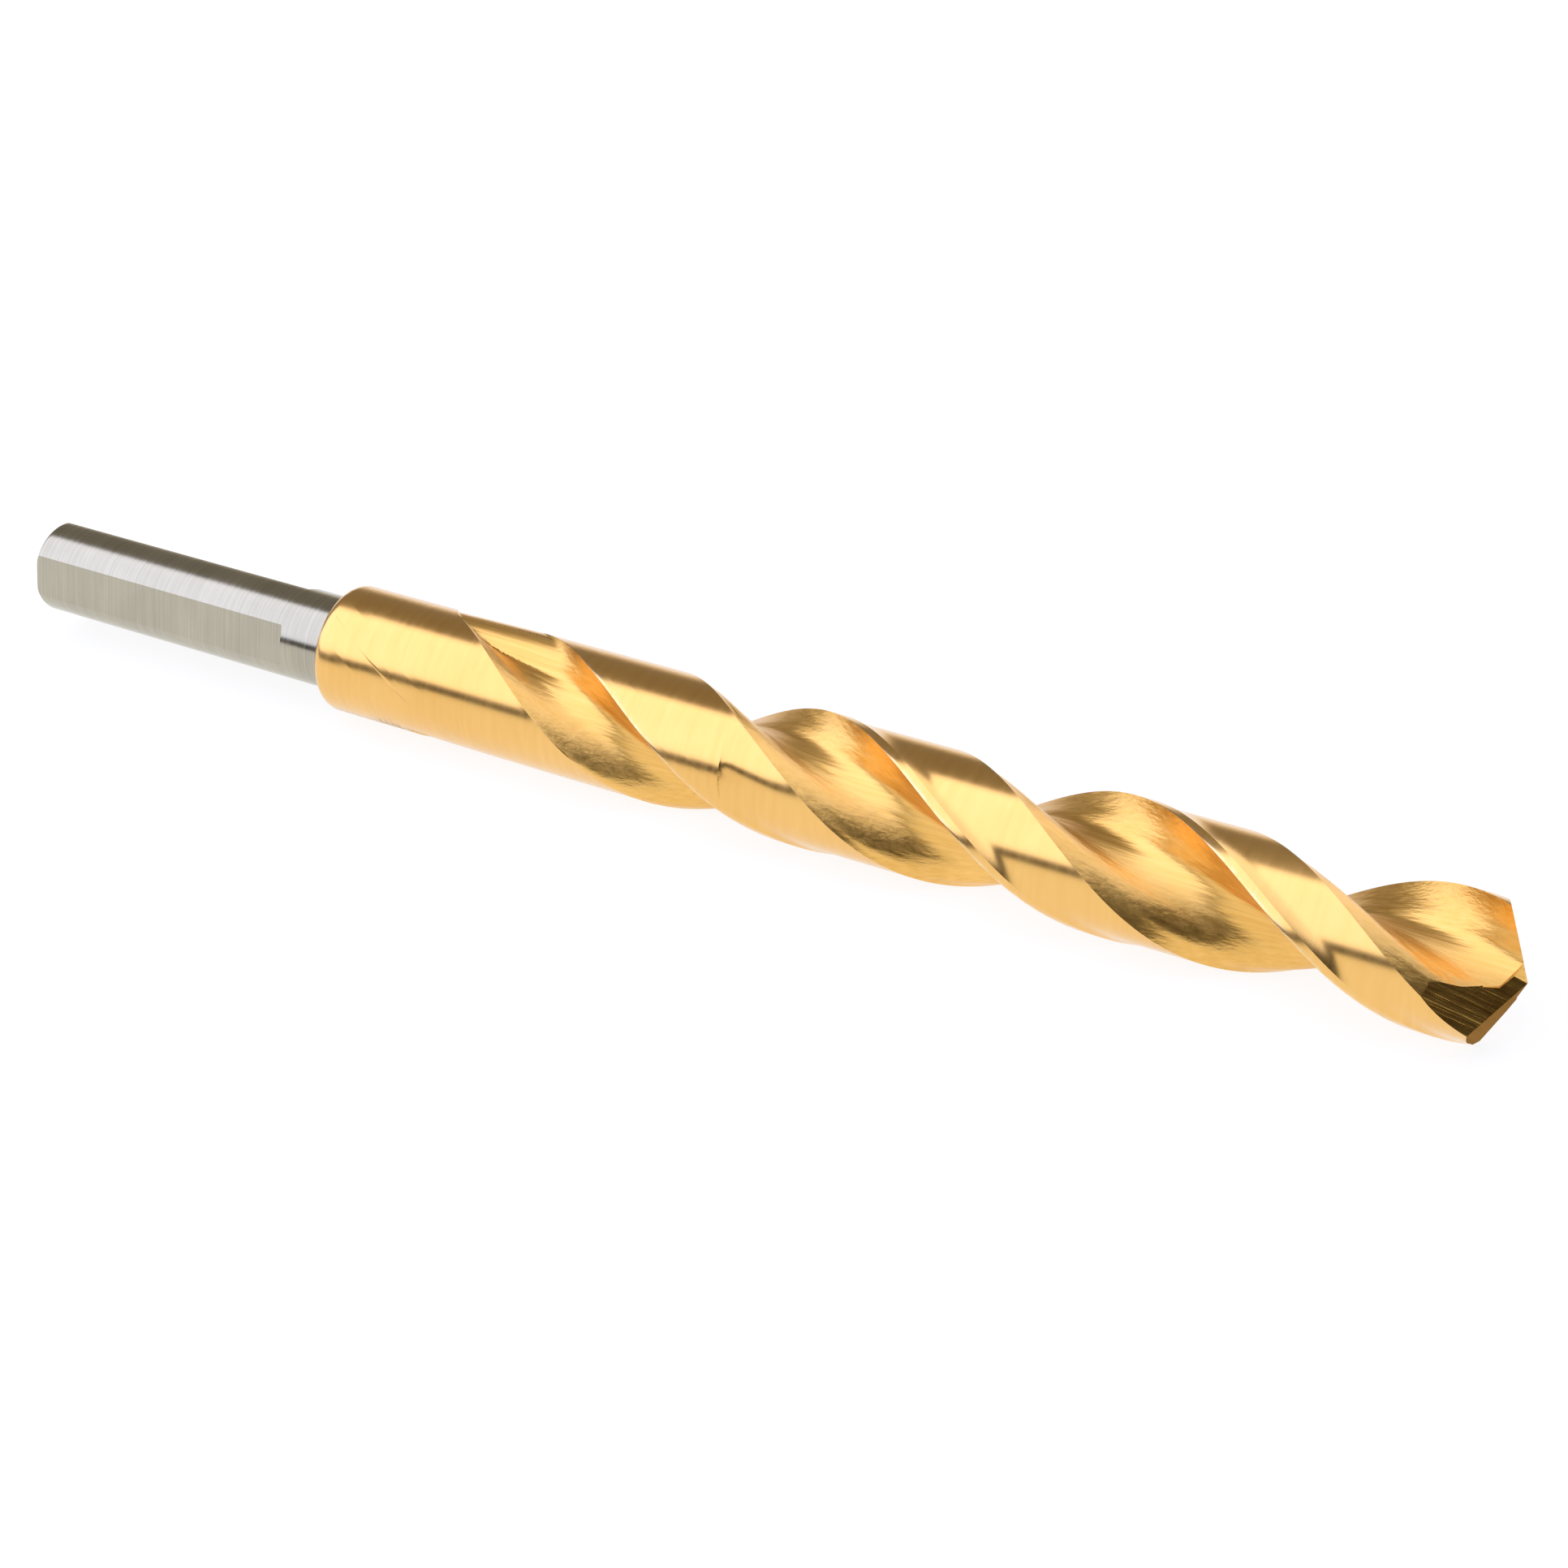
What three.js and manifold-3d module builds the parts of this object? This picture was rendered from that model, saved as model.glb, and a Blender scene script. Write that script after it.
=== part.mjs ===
// Twist drill: coated fluted body and bare three-flat shank, axis along +X, tip at +X, +Z up, mm.
import * as THREE from 'three';
import { mergeVertices } from 'three/addons/utils/BufferGeometryUtils.js';
import Module from 'manifold-3d';

const wasm = await Module();
wasm.setup();
const { Manifold } = wasm;

// ---- overall ----
const BODY_DIAMETER = 12.7;
const BODY_R = BODY_DIAMETER / 2;
const OVERALL_LENGTH = 152.4;
const POINT_HALF_ANGLE = THREE.MathUtils.degToRad(67.5);

// ---- shank ----
const SHANK_R = 4.66;
const SHANK_END_CHAMFER = 0.45;
const FLAT_DISTANCE = 4.152;
const FLAT_LENGTH = 31.2;
const FLAT_CORNER_R = 1.1;
const FLAT_ANGLES = [167.5, 47.5, 287.5].map((a) => THREE.MathUtils.degToRad(a));

// ---- collar ----
const COLLAR_REAR_X = 36.05;
const COLLAR_RIM_R = 1.2;
const SOCKET_DEPTH = 1.3;
const PIECE_GAP = 0.3;

// ---- helix: angle of the leading edge along the axis ----
const CORNER_X = OVERALL_LENGTH - BODY_R / Math.tan(POINT_HALF_ANGLE);
const CORNER_ANGLE = 1.3839;
const TWIST_RATE = 0.10953;
const TWIST_RATE_GROWTH = 0.00007;

// ---- lands ----
const CLEARANCE_R = 6.08;
const CLEARANCE_START_X = 81.2;
const STEP_LENGTH = 1.0;
const STEP_LENGTH_HEEL = 11.0;
const MARGIN_ANGLE = 0.155;
const MARGIN_FILLET_ANGLE = 0.24;

// ---- flute section at the point, rake side first, lead corner at (BODY_R, 0) ----
const FLUTE_PROFILE = [
  [6.35, 0.0], [6.006, -0.036], [5.662, -0.069], [5.316, -0.094], [4.969, -0.107], [4.622, -0.107],
  [4.277, -0.089], [3.935, -0.051], [3.593, -0.004], [3.248, 0.038], [2.898, 0.061], [2.548, 0.083],
  [2.213, 0.15], [1.904, 0.297], [1.619, 0.501], [1.35, 0.723], [1.086, 0.944], [0.813, 1.157],
  [0.543, 1.374], [0.291, 1.61], [0.061, 1.869], [-0.147, 2.146], [-0.338, 2.436], [-0.52, 2.73],
  [-0.716, 3.014], [-0.936, 3.279], [-1.178, 3.531], [-1.439, 3.767], [-1.726, 3.959], [-2.047, 4.078],
  [-2.39, 4.145],
];
const HEEL_ANGLE = 2.2762;
const WEB_SHIFT_ANGLE = 1.1782;
const WEB_TAPER = 0.0262;
const FLUTE_END_X = 45.4;
const FLUTE_FULL_X = 62.5;
const RUNOUT_CURVE = 0.035;
const RUNOUT_X = 56.0;
const RUNOUT_SKEW = 12.3;
const RUNOUT_BLEND = 0.45;
const FLUTE_STEPS = 15;
const LAND_STEPS = 5;

// ---- split point ----
const GASH_NORMAL_A = new THREE.Vector3(0.55024, -0.62475, 0.55401).normalize();
const LAND_END_A = new THREE.Vector3(149.297, -5.225, -2.811);
const GASH_WALL_OFFSET = 0.02;
const GASH_WALL_LEAN = 0.464;
const NOTCH_START = new THREE.Vector3(OVERALL_LENGTH - 1.084, -0.392, 0.634);
const NOTCH_END = new THREE.Vector3(OVERALL_LENGTH - 1.898, -1.678, -0.007);
const NOTCH_LAST = new THREE.Vector3(OVERALL_LENGTH - 3.086, -2.499, 0.246);
const NOTCH_TILT = THREE.MathUtils.degToRad(52);

// ---- ridge between the heel strip and the flute, near the point ----
const RIDGE_HEIGHT = 0.36;
const RIDGE_REACH = 1.65;
const RIDGE_START_X = 118;
const RIDGE_FULL_X = 140;

function leadAngle(x) {
  const d = x - CORNER_X;
  return CORNER_ANGLE + TWIST_RATE * d + 0.5 * TWIST_RATE_GROWTH * d * d;
}

const profile = (() => {
  const p = FLUTE_PROFILE.map(([a, b]) => [a, b]);
  const first = p[0];
  const second = p[1];
  const heel = [CLEARANCE_R * Math.cos(HEEL_ANGLE), CLEARANCE_R * Math.sin(HEEL_ANGLE)];
  const last = p[p.length - 1];
  const unit = (a, b) => { const l = Math.hypot(a[0] - b[0], a[1] - b[1]); return [(a[0] - b[0]) / l, (a[1] - b[1]) / l]; };
  const u0 = unit(first, second);
  const u1 = unit(heel, last);
  const head = [3, 1.5, 0.7].map((k) => [first[0] + u0[0] * k, first[1] + u0[1] * k]);
  const tail = [0, 0.4, 1, 2, 3.5].map((k) => [heel[0] + u1[0] * k, heel[1] + u1[1] * k]);
  return [...head, ...p, ...tail];
})();

// how much each profile point rises with the ridge: 1 on it, 0 beyond its reach
const ridgeShape = (() => {
  const arc = [0];
  for (let i = 1; i < profile.length; i += 1) arc.push(arc[i - 1] + Math.hypot(profile[i][0] - profile[i - 1][0], profile[i][1] - profile[i - 1][1]));
  const at = arc[3 + FLUTE_PROFILE.length - 1];
  return arc.map((s) => Math.max(0, 1 - Math.abs(s - at) / RIDGE_REACH));
})();

function cross(a, b, r) {
  const ra = Math.hypot(...a);
  const rb = Math.hypot(...b);
  const t = (r - ra) / (rb - ra);
  return [a[0] + (b[0] - a[0]) * t, a[1] + (b[1] - a[1]) * t];
}

// Radius of the land behind the margin; across is 0 at the heel and 1 at the margin.
function landRadius(x, across) {
  const w = THREE.MathUtils.smoothstep(across, 0.25, 0.75);
  const length = STEP_LENGTH_HEEL + (STEP_LENGTH - STEP_LENGTH_HEEL) * w;
  const t = THREE.MathUtils.clamp((x - CLEARANCE_START_X) / length, 0, 1);
  return CLEARANCE_R + (BODY_R - CLEARANCE_R) * (1 - t) ** 3;
}

// Half section: list of [radius, angle from the leading edge], heel of the land to heel of the next.
function halfSection(x) {
  const heelR = landRadius(x, 0);
  const marginFootR = landRadius(x, 1);
  const d = (OVERALL_LENGTH - x) * WEB_TAPER;
  const grow = RIDGE_HEIGHT * THREE.MathUtils.smoothstep(x, RIDGE_START_X, RIDGE_FULL_X);
  const g = profile.map(([a, b], i) => [
    a + grow * ridgeShape[i] * 0.12 + d * Math.cos(WEB_SHIFT_ANGLE),
    b + grow * ridgeShape[i] * 0.99 + d * Math.sin(WEB_SHIFT_ANGLE),
  ]);
  const rad = g.map((q) => Math.hypot(...q));
  let i0 = rad.findIndex((r) => r < BODY_R);
  let i1 = rad.length - 1;
  while (rad[i1] > heelR) i1 -= 1;
  const line = [cross(g[i0 - 1], g[i0], BODY_R), ...g.slice(i0, i1 + 1), cross(g[i1], g[i1 + 1], heelR)];
  const s = [0];
  for (let i = 1; i < line.length; i += 1) s.push(s[i - 1] + Math.hypot(line[i][0] - line[i - 1][0], line[i][1] - line[i - 1][1]));
  const a0 = Math.atan2(line[0][1], line[0][0]);
  const flute = [];
  let k = 0;
  for (let i = 0; i <= FLUTE_STEPS; i += 1) {
    const t = (s[s.length - 1] * i) / FLUTE_STEPS;
    while (k < s.length - 2 && s[k + 1] < t) k += 1;
    const f = (t - s[k]) / (s[k + 1] - s[k]);
    const px = line[k][0] + (line[k + 1][0] - line[k][0]) * f;
    const py = line[k][1] + (line[k + 1][1] - line[k][1]) * f;
    flute.push([Math.hypot(px, py), Math.atan2(py, px) - a0]);
  }
  if (x < FLUTE_FULL_X) {
    // run-out: shallow first along the leading side, last at the heel
    const last = flute[flute.length - 1][1];
    const limit = Math.min(last, Math.max(0.4, 1.197 + 0.139 * (x - 48.1)));
    for (const q of flute) {
      q[1] *= limit / last;
      const deep = RUNOUT_CURVE * Math.max(0, x - RUNOUT_X + RUNOUT_SKEW * q[1]) ** 2;
      const lift = BODY_R - deep;
      const h = THREE.MathUtils.clamp(0.5 + (0.5 * (q[0] - lift)) / RUNOUT_BLEND, 0, 1);
      const r = lift * (1 - h) + q[0] * h + RUNOUT_BLEND * h * (1 - h);
      q[0] = x <= FLUTE_END_X ? BODY_R : Math.min(BODY_R, r);
    }
  }
  const heel = flute[flute.length - 1][1] - Math.PI;
  const land = [];
  const inner = -MARGIN_ANGLE - MARGIN_FILLET_ANGLE;
  for (let i = 1; i <= LAND_STEPS; i += 1) land.push([landRadius(x, i / LAND_STEPS), heel + ((inner - heel) * i) / LAND_STEPS]);
  for (const w of [0.4, 0.75]) land.push([marginFootR + (BODY_R - marginFootR) * w ** 2.1, inner + MARGIN_FILLET_ANGLE * w]);
  land.push([BODY_R, -MARGIN_ANGLE]);
  land.push([BODY_R, -MARGIN_ANGLE * 0.5]);
  return [...land, ...flute];
}

function ring(x, radiusCap) {
  const half = halfSection(x);
  const out = [];
  for (const off of [0, Math.PI]) {
    for (const [r, a] of half) {
      const th = leadAngle(x) + off + a;
      const rr = Math.min(r, radiusCap);
      out.push([x, rr * Math.cos(th), rr * Math.sin(th)]);
    }
  }
  return out;
}

function solidFromRings(rings) {
  const n = rings[0].length;
  const pos = [];
  const tri = [];
  rings.forEach((r) => r.forEach((p) => pos.push(...p)));
  for (let k = 0; k < rings.length - 1; k += 1) {
    for (let i = 0; i < n; i += 1) {
      const a = k * n + i;
      const b = k * n + ((i + 1) % n);
      const c = (k + 1) * n + i;
      const d = (k + 1) * n + ((i + 1) % n);
      tri.push(a, b, d, a, d, c);
    }
  }
  const cap = (ringIndex, forward) => {
    const pts = rings[ringIndex].map((p) => new THREE.Vector2(p[1], p[2]));
    for (const f of THREE.ShapeUtils.triangulateShape(pts, [])) {
      const [a, b, c] = f.map((i) => ringIndex * n + i);
      const u = pts[f[1]].clone().sub(pts[f[0]]);
      const v = pts[f[2]].clone().sub(pts[f[0]]);
      const ccw = u.cross(v) > 0;
      if (ccw === forward) tri.push(a, b, c); else tri.push(a, c, b);
    }
  };
  cap(0, false);
  cap(rings.length - 1, true);
  const mesh = new wasm.Mesh({ numProp: 3, vertProperties: new Float32Array(pos), triVerts: new Uint32Array(tri) });
  mesh.merge();
  return new Manifold(mesh);
}

function cylinderX(x0, x1, r, segments) {
  const c = (x) => Array.from({ length: segments }, (_, i) => {
    const t = (2 * Math.PI * i) / segments;
    return [x, r * Math.cos(t), r * Math.sin(t)];
  });
  return solidFromRings([c(x0), c(x1)]);
}

// Box whose +W face lies in the plane through origin with outward normal w; it fills the side against w.
function halfBlock(origin, normal, size, flip) {
  const w = normal.clone().multiplyScalar(flip ? -1 : 1).normalize();
  const helper = Math.abs(w.x) < 0.9 ? new THREE.Vector3(1, 0, 0) : new THREE.Vector3(0, 1, 0);
  const u = helper.clone().cross(w).normalize();
  const v = w.clone().cross(u);
  const m = new THREE.Matrix4().makeBasis(u, v, w);
  const c = origin.clone().addScaledVector(w, -size / 2);
  m.setPosition(c);
  const box = new THREE.BoxGeometry(size, size, size).applyMatrix4(m);
  box.deleteAttribute('normal');
  box.deleteAttribute('uv');
  const merged = mergeVertices(box, 1e-5);
  return new Manifold(new wasm.Mesh({
    numProp: 3,
    vertProperties: new Float32Array(merged.attributes.position.array),
    triVerts: new Uint32Array(merged.index.array),
  }));
}

// ---------------- cutting body ----------------
const stations = [];
for (const a of [0, 22.5, 45, 67.5, 90]) {
  const t = THREE.MathUtils.degToRad(a);
  stations.push([COLLAR_REAR_X + COLLAR_RIM_R * (1 - Math.sin(t)), BODY_R - COLLAR_RIM_R * (1 - Math.cos(t))]);
}
stations.reverse();
const rings = [];
for (const [x, r] of stations) rings.push(ring(x, r));
rings.reverse();
rings.sort((p, q) => p[0][0] - q[0][0]);
for (const x of [39.4, 41.6, 43.8]) rings.push(ring(x, BODY_R));
for (let x = FLUTE_END_X; x < FLUTE_FULL_X - 0.5; x += 1.14) rings.push(ring(x, BODY_R));
const span = (a, b, n) => { for (let i = 0; i < n; i += 1) rings.push(ring(a + ((b - a) * i) / n, BODY_R)); };
span(FLUTE_FULL_X, CLEARANCE_START_X, 12);
rings.push(ring(CLEARANCE_START_X, BODY_R));
span(CLEARANCE_START_X + STEP_LENGTH * 0.4, CLEARANCE_START_X + STEP_LENGTH, 1);
span(CLEARANCE_START_X + STEP_LENGTH, OVERALL_LENGTH + 0.6, 40);
rings.push(ring(OVERALL_LENGTH + 0.6, BODY_R));
let body = solidFromRings(rings);

const apex = new THREE.Vector3(OVERALL_LENGTH, 0, 0);
const turn = new THREE.Matrix4().makeRotationX(Math.PI);
const spin = (v) => v.clone().applyMatrix4(turn);
const cornerA = new THREE.Vector3(CORNER_X, BODY_R * Math.cos(CORNER_ANGLE + Math.PI), BODY_R * Math.sin(CORNER_ANGLE + Math.PI));
const flankNormalA = cornerA.clone().sub(apex).cross(LAND_END_A.clone().sub(apex)).normalize();
if (flankNormalA.x < 0) flankNormalA.negate();
const lipB = new THREE.Vector3(0, Math.cos(CORNER_ANGLE), Math.sin(CORNER_ANGLE));
const aheadB = new THREE.Vector3(0, -Math.sin(CORNER_ANGLE), Math.cos(CORNER_ANGLE));
const wallNormalB = aheadB.clone().add(new THREE.Vector3(GASH_WALL_LEAN, 0, 0)).normalize();
const wallPointB = apex.clone().addScaledVector(aheadB, GASH_WALL_OFFSET);
const notchWall = (p, q) => {
  const aside = GASH_NORMAL_A.clone().cross(q.clone().sub(p).normalize()).normalize();
  if (aside.x < 0) aside.negate();
  return GASH_NORMAL_A.clone().multiplyScalar(Math.cos(NOTCH_TILT)).addScaledVector(aside, Math.sin(NOTCH_TILT));
};
const notchNormal = notchWall(NOTCH_START, NOTCH_END);
const valleyNormal = notchWall(NOTCH_END, NOTCH_LAST);

for (const half of [0, 1]) {
  const f = (v) => (half ? spin(v) : v.clone());
  const flank = halfBlock(f(apex), f(flankNormalA), 60, false);
  body = body.intersect(flank.add(cylinderX(0, OVERALL_LENGTH - 8, 20, 8)));
}
for (const half of [0, 1]) {
  const f = (v) => (half ? spin(v) : v.clone());
  const above = halfBlock(f(apex), f(GASH_NORMAL_A), 40, true);
  const ahead = halfBlock(f(wallPointB), f(wallNormalB), 40, true);
  const beside = halfBlock(f(NOTCH_START), f(notchNormal), 40, true);
  body = body.subtract(above.intersect(ahead).intersect(beside));
  const valley = halfBlock(f(NOTCH_END), f(valleyNormal), 40, true);
  const pastEnd = halfBlock(f(NOTCH_END), f(NOTCH_END.clone().sub(NOTCH_START)), 40, true);
  body = body.subtract(above.intersect(valley).intersect(pastEnd));
  const outer = halfBlock(f(NOTCH_LAST), f(NOTCH_LAST.clone().sub(NOTCH_END)), 40, true);
  body = body.subtract(above.intersect(outer));
}
body = body.subtract(cylinderX(COLLAR_REAR_X - 2, COLLAR_REAR_X + SOCKET_DEPTH, SHANK_R + PIECE_GAP, 72));

// ---------------- shank ----------------
const shankProfile = [
  [0, SHANK_R - SHANK_END_CHAMFER],
  [SHANK_END_CHAMFER * 0.35, SHANK_R - SHANK_END_CHAMFER * 0.35],
  [SHANK_END_CHAMFER, SHANK_R],
  [COLLAR_REAR_X + SOCKET_DEPTH - PIECE_GAP, SHANK_R],
];
const SHANK_SEGMENTS = 84;
let shank = solidFromRings(shankProfile.map(([x, r]) => Array.from({ length: SHANK_SEGMENTS }, (_, i) => {
  const t = (2 * Math.PI * (i + 0.5)) / SHANK_SEGMENTS;
  return [x, r * Math.cos(t), r * Math.sin(t)];
})));
const halfChord = Math.sqrt(SHANK_R ** 2 - FLAT_DISTANCE ** 2);
for (const angle of FLAT_ANGLES) {
  const shape = new THREE.Shape();
  const w = halfChord + 1.5;
  const rc = FLAT_CORNER_R + 1.5;
  shape.moveTo(-2, -w);
  shape.lineTo(FLAT_LENGTH - rc, -w);
  shape.absarc(FLAT_LENGTH - rc, -w + rc, rc, -Math.PI / 2, 0, false);
  shape.absarc(FLAT_LENGTH - rc, w - rc, rc, 0, Math.PI / 2, false);
  shape.lineTo(-2, w);
  shape.closePath();
  const geo = new THREE.ExtrudeGeometry(shape, { depth: 3, bevelEnabled: false, curveSegments: 8 });
  // shape plane (x, tangential) and extrusion outward along the flat's normal
  const nrm = new THREE.Vector3(0, Math.cos(angle), Math.sin(angle));
  const tan = new THREE.Vector3(0, Math.sin(angle), -Math.cos(angle));
  const basis = new THREE.Matrix4().makeBasis(new THREE.Vector3(1, 0, 0), tan, nrm);
  basis.setPosition(nrm.clone().multiplyScalar(FLAT_DISTANCE));
  geo.applyMatrix4(basis);
  geo.deleteAttribute('normal');
  geo.deleteAttribute('uv');
  const p = geo.attributes.position.array;
  const idx = geo.index ? geo.index.array : Uint32Array.from({ length: p.length / 3 }, (_, i) => i);
  const m = new wasm.Mesh({ numProp: 3, vertProperties: new Float32Array(p), triVerts: new Uint32Array(idx) });
  m.merge();
  shank = shank.subtract(new Manifold(m));
}

// ---------------- group ----------------
function toMesh(manifold, name, color, roughness, metalness) {
  const m = manifold.getMesh();
  const geo = new THREE.BufferGeometry();
  const pos = new Float32Array((m.vertProperties.length / m.numProp) * 3);
  for (let i = 0; i < pos.length / 3; i += 1) {
    for (let k = 0; k < 3; k += 1) pos[i * 3 + k] = m.vertProperties[i * m.numProp + k];
  }
  geo.setAttribute('position', new THREE.BufferAttribute(pos, 3));
  geo.setIndex(new THREE.BufferAttribute(new Uint32Array(m.triVerts), 1));
  geo.computeVertexNormals();
  const mesh = new THREE.Mesh(geo, new THREE.MeshStandardMaterial({ color, roughness, metalness }));
  mesh.name = name;
  return mesh;
}

const group = new THREE.Group();
group.name = 'twist_drill';
group.add(toMesh(body, 'cutting_body', 0xd9a441, 0.28, 1.0));
group.add(toMesh(shank, 'shank', 0xa9a79f, 0.36, 1.0));

export default group;
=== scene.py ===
import math

import bmesh
import bpy
import numpy as np
from mathutils import Matrix, Vector


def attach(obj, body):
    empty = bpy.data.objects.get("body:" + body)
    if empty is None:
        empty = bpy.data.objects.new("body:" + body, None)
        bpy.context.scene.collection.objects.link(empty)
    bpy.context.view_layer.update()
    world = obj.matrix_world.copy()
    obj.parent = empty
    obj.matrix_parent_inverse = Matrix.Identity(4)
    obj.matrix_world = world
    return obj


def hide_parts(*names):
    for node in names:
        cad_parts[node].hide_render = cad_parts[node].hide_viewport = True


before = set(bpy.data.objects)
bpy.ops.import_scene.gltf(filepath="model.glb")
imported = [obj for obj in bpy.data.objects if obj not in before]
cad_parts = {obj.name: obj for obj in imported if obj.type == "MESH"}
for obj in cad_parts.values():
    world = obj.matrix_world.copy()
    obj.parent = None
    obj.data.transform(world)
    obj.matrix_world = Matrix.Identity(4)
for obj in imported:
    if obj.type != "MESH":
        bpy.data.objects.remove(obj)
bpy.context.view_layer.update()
MM = 0.001

# ------------------------------------------------------------------ dimensions, mm
R = 6.3498
LENGTH = 152.4
KAPPA = math.radians(67.5)
SHANK_R = 4.66
SHANK_CHAMFER = 0.45
FLAT_D = 4.152
FLAT_LEN = 31.2
FLAT_ANGLES = [math.radians(a) for a in (167.5, 47.5, 287.5)]
COLLAR_X = 36.05
RIM_R = 1.2
SOCKET_DEPTH = 1.3
CORNER_X = LENGTH - R / math.tan(KAPPA)
CORNER_A = 1.3839
TWIST = 0.10953
TWIST2 = 0.00007
CLEAR_R = 6.08
CLEAR_X = 81.2
STEP_LEN = 1.0
STEP_LEN_HEEL = 11.0
MARGIN = 0.155
MARGIN_FILLET = 0.24
HEEL_ANGLE = 2.2762
WEB_DIR = 1.1782
WEB_TAPER = 0.0262
FLUTE_END = 45.4
FLUTE_FULL = 62.5
RUNOUT_CURVE = 0.035
RUNOUT_X = 56.0
RUNOUT_SKEW = 12.3
PROFILE = [
  [6.35, 0.0], [6.006, -0.036], [5.662, -0.069], [5.316, -0.094], [4.969, -0.107], [4.622, -0.107],
  [4.277, -0.089], [3.935, -0.051], [3.593, -0.004], [3.248, 0.038], [2.898, 0.061], [2.548, 0.083],
  [2.213, 0.15], [1.904, 0.297], [1.619, 0.501], [1.35, 0.723], [1.086, 0.944], [0.813, 1.157],
  [0.543, 1.374], [0.291, 1.61], [0.061, 1.869], [-0.147, 2.146], [-0.338, 2.436], [-0.52, 2.73],
  [-0.716, 3.014], [-0.936, 3.279], [-1.178, 3.531], [-1.439, 3.767], [-1.726, 3.959], [-2.047, 4.078],
  [-2.39, 4.145],
]

GASH_N = Vector((0.55024, -0.62475, 0.55401)).normalized()
LAND_END = Vector((149.297, -5.225, -2.811))
WALL_OFFSET = 0.02
WALL_LEAN = 0.464
NOTCH_P = Vector((LENGTH - 1.084, -0.392, 0.634))
NOTCH_Q = Vector((LENGTH - 1.898, -1.678, -0.007))
NOTCH_R = Vector((LENGTH - 3.086, -2.499, 0.246))
NOTCH_TILT = math.radians(52)
RIDGE = 0.36
RIDGE_REACH = 1.65


def lead(x):
    d = x - CORNER_X
    return CORNER_A + TWIST * d + 0.5 * TWIST2 * d * d


def spline(points, n):
    """Natural cubic spline through the points, by chord length."""
    p = np.array(points, float)
    s = np.concatenate([[0], np.cumsum(np.hypot(*np.diff(p, axis=0).T))])
    h = np.diff(s)
    m = len(p)
    a = np.zeros((m, m))
    b = np.zeros((m, 2))
    a[0, 0] = a[-1, -1] = 1
    for i in range(1, m - 1):
        a[i, i - 1], a[i, i], a[i, i + 1] = h[i - 1], 2 * (h[i - 1] + h[i]), h[i]
        b[i] = 6 * ((p[i + 1] - p[i]) / h[i] - (p[i] - p[i - 1]) / h[i - 1])
    k = np.linalg.solve(a, b)
    t = np.linspace(0, s[-1], n)
    j = np.clip(np.searchsorted(s, t, side="right") - 1, 0, m - 2)
    d0, d1, hh = t - s[j], s[j + 1] - t, h[j]
    out = (k[j] * (d1**3 / (6 * hh))[:, None] + k[j + 1] * (d0**3 / (6 * hh))[:, None]
           + (p[j] / hh[:, None] - k[j] * (hh / 6)[:, None]) * d1[:, None]
           + (p[j + 1] / hh[:, None] - k[j + 1] * (hh / 6)[:, None]) * d0[:, None])
    return out


def full_profile():
    p = spline(PROFILE, 240)
    heel = np.array([CLEAR_R * math.cos(HEEL_ANGLE), CLEAR_R * math.sin(HEEL_ANGLE)])
    u0 = p[0] - p[1]
    u0 /= np.hypot(*u0)
    u1 = heel - p[-1]
    u1 /= np.hypot(*u1)
    head = np.array([p[0] + u0 * k for k in (3, 1.5, 0.7, 0.3)])
    strip = p[-1] + (heel - p[-1]) * np.linspace(0, 1, 26)[1:, None]
    # the ridge between the flute and the heel strip is slightly rounded
    tail = np.array([heel + u1 * k for k in (0.2, 0.4, 1, 2, 3.5)])
    q = np.vstack([head, p, strip, tail])
    i0, i1 = len(head) + 228, len(head) + 252
    q[i0:i1] = (q[i0 - 1:i1 - 1] + q[i0:i1] * 2 + q[i0 + 1:i1 + 1]) / 4
    return q


FULL = full_profile()
_arc = np.concatenate([[0], np.cumsum(np.hypot(*np.diff(FULL, axis=0).T))])
_at = _arc[int(np.argmin(np.hypot(FULL[:, 0] - PROFILE[-1][0], FULL[:, 1] - PROFILE[-1][1])))]
RIDGE_SHAPE = np.maximum(0, 1 - np.abs(_arc - _at) / RIDGE_REACH)[:, None] * np.array([0.12, 0.99])
N_FLUTE, N_LAND = 54, 16


def land_r(x, across):
    """Radius of the land behind the margin; across is 0 at the heel and 1 at the margin."""
    w = np.clip((np.asarray(across, float) - 0.25) / 0.5, 0, 1)
    w = w * w * (3 - 2 * w)
    length = STEP_LEN_HEEL + (STEP_LEN - STEP_LEN_HEEL) * w
    t = np.clip((x - CLEAR_X) / length, 0, 1)
    return CLEAR_R + (R - CLEAR_R) * (1 - t) ** 3


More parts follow.
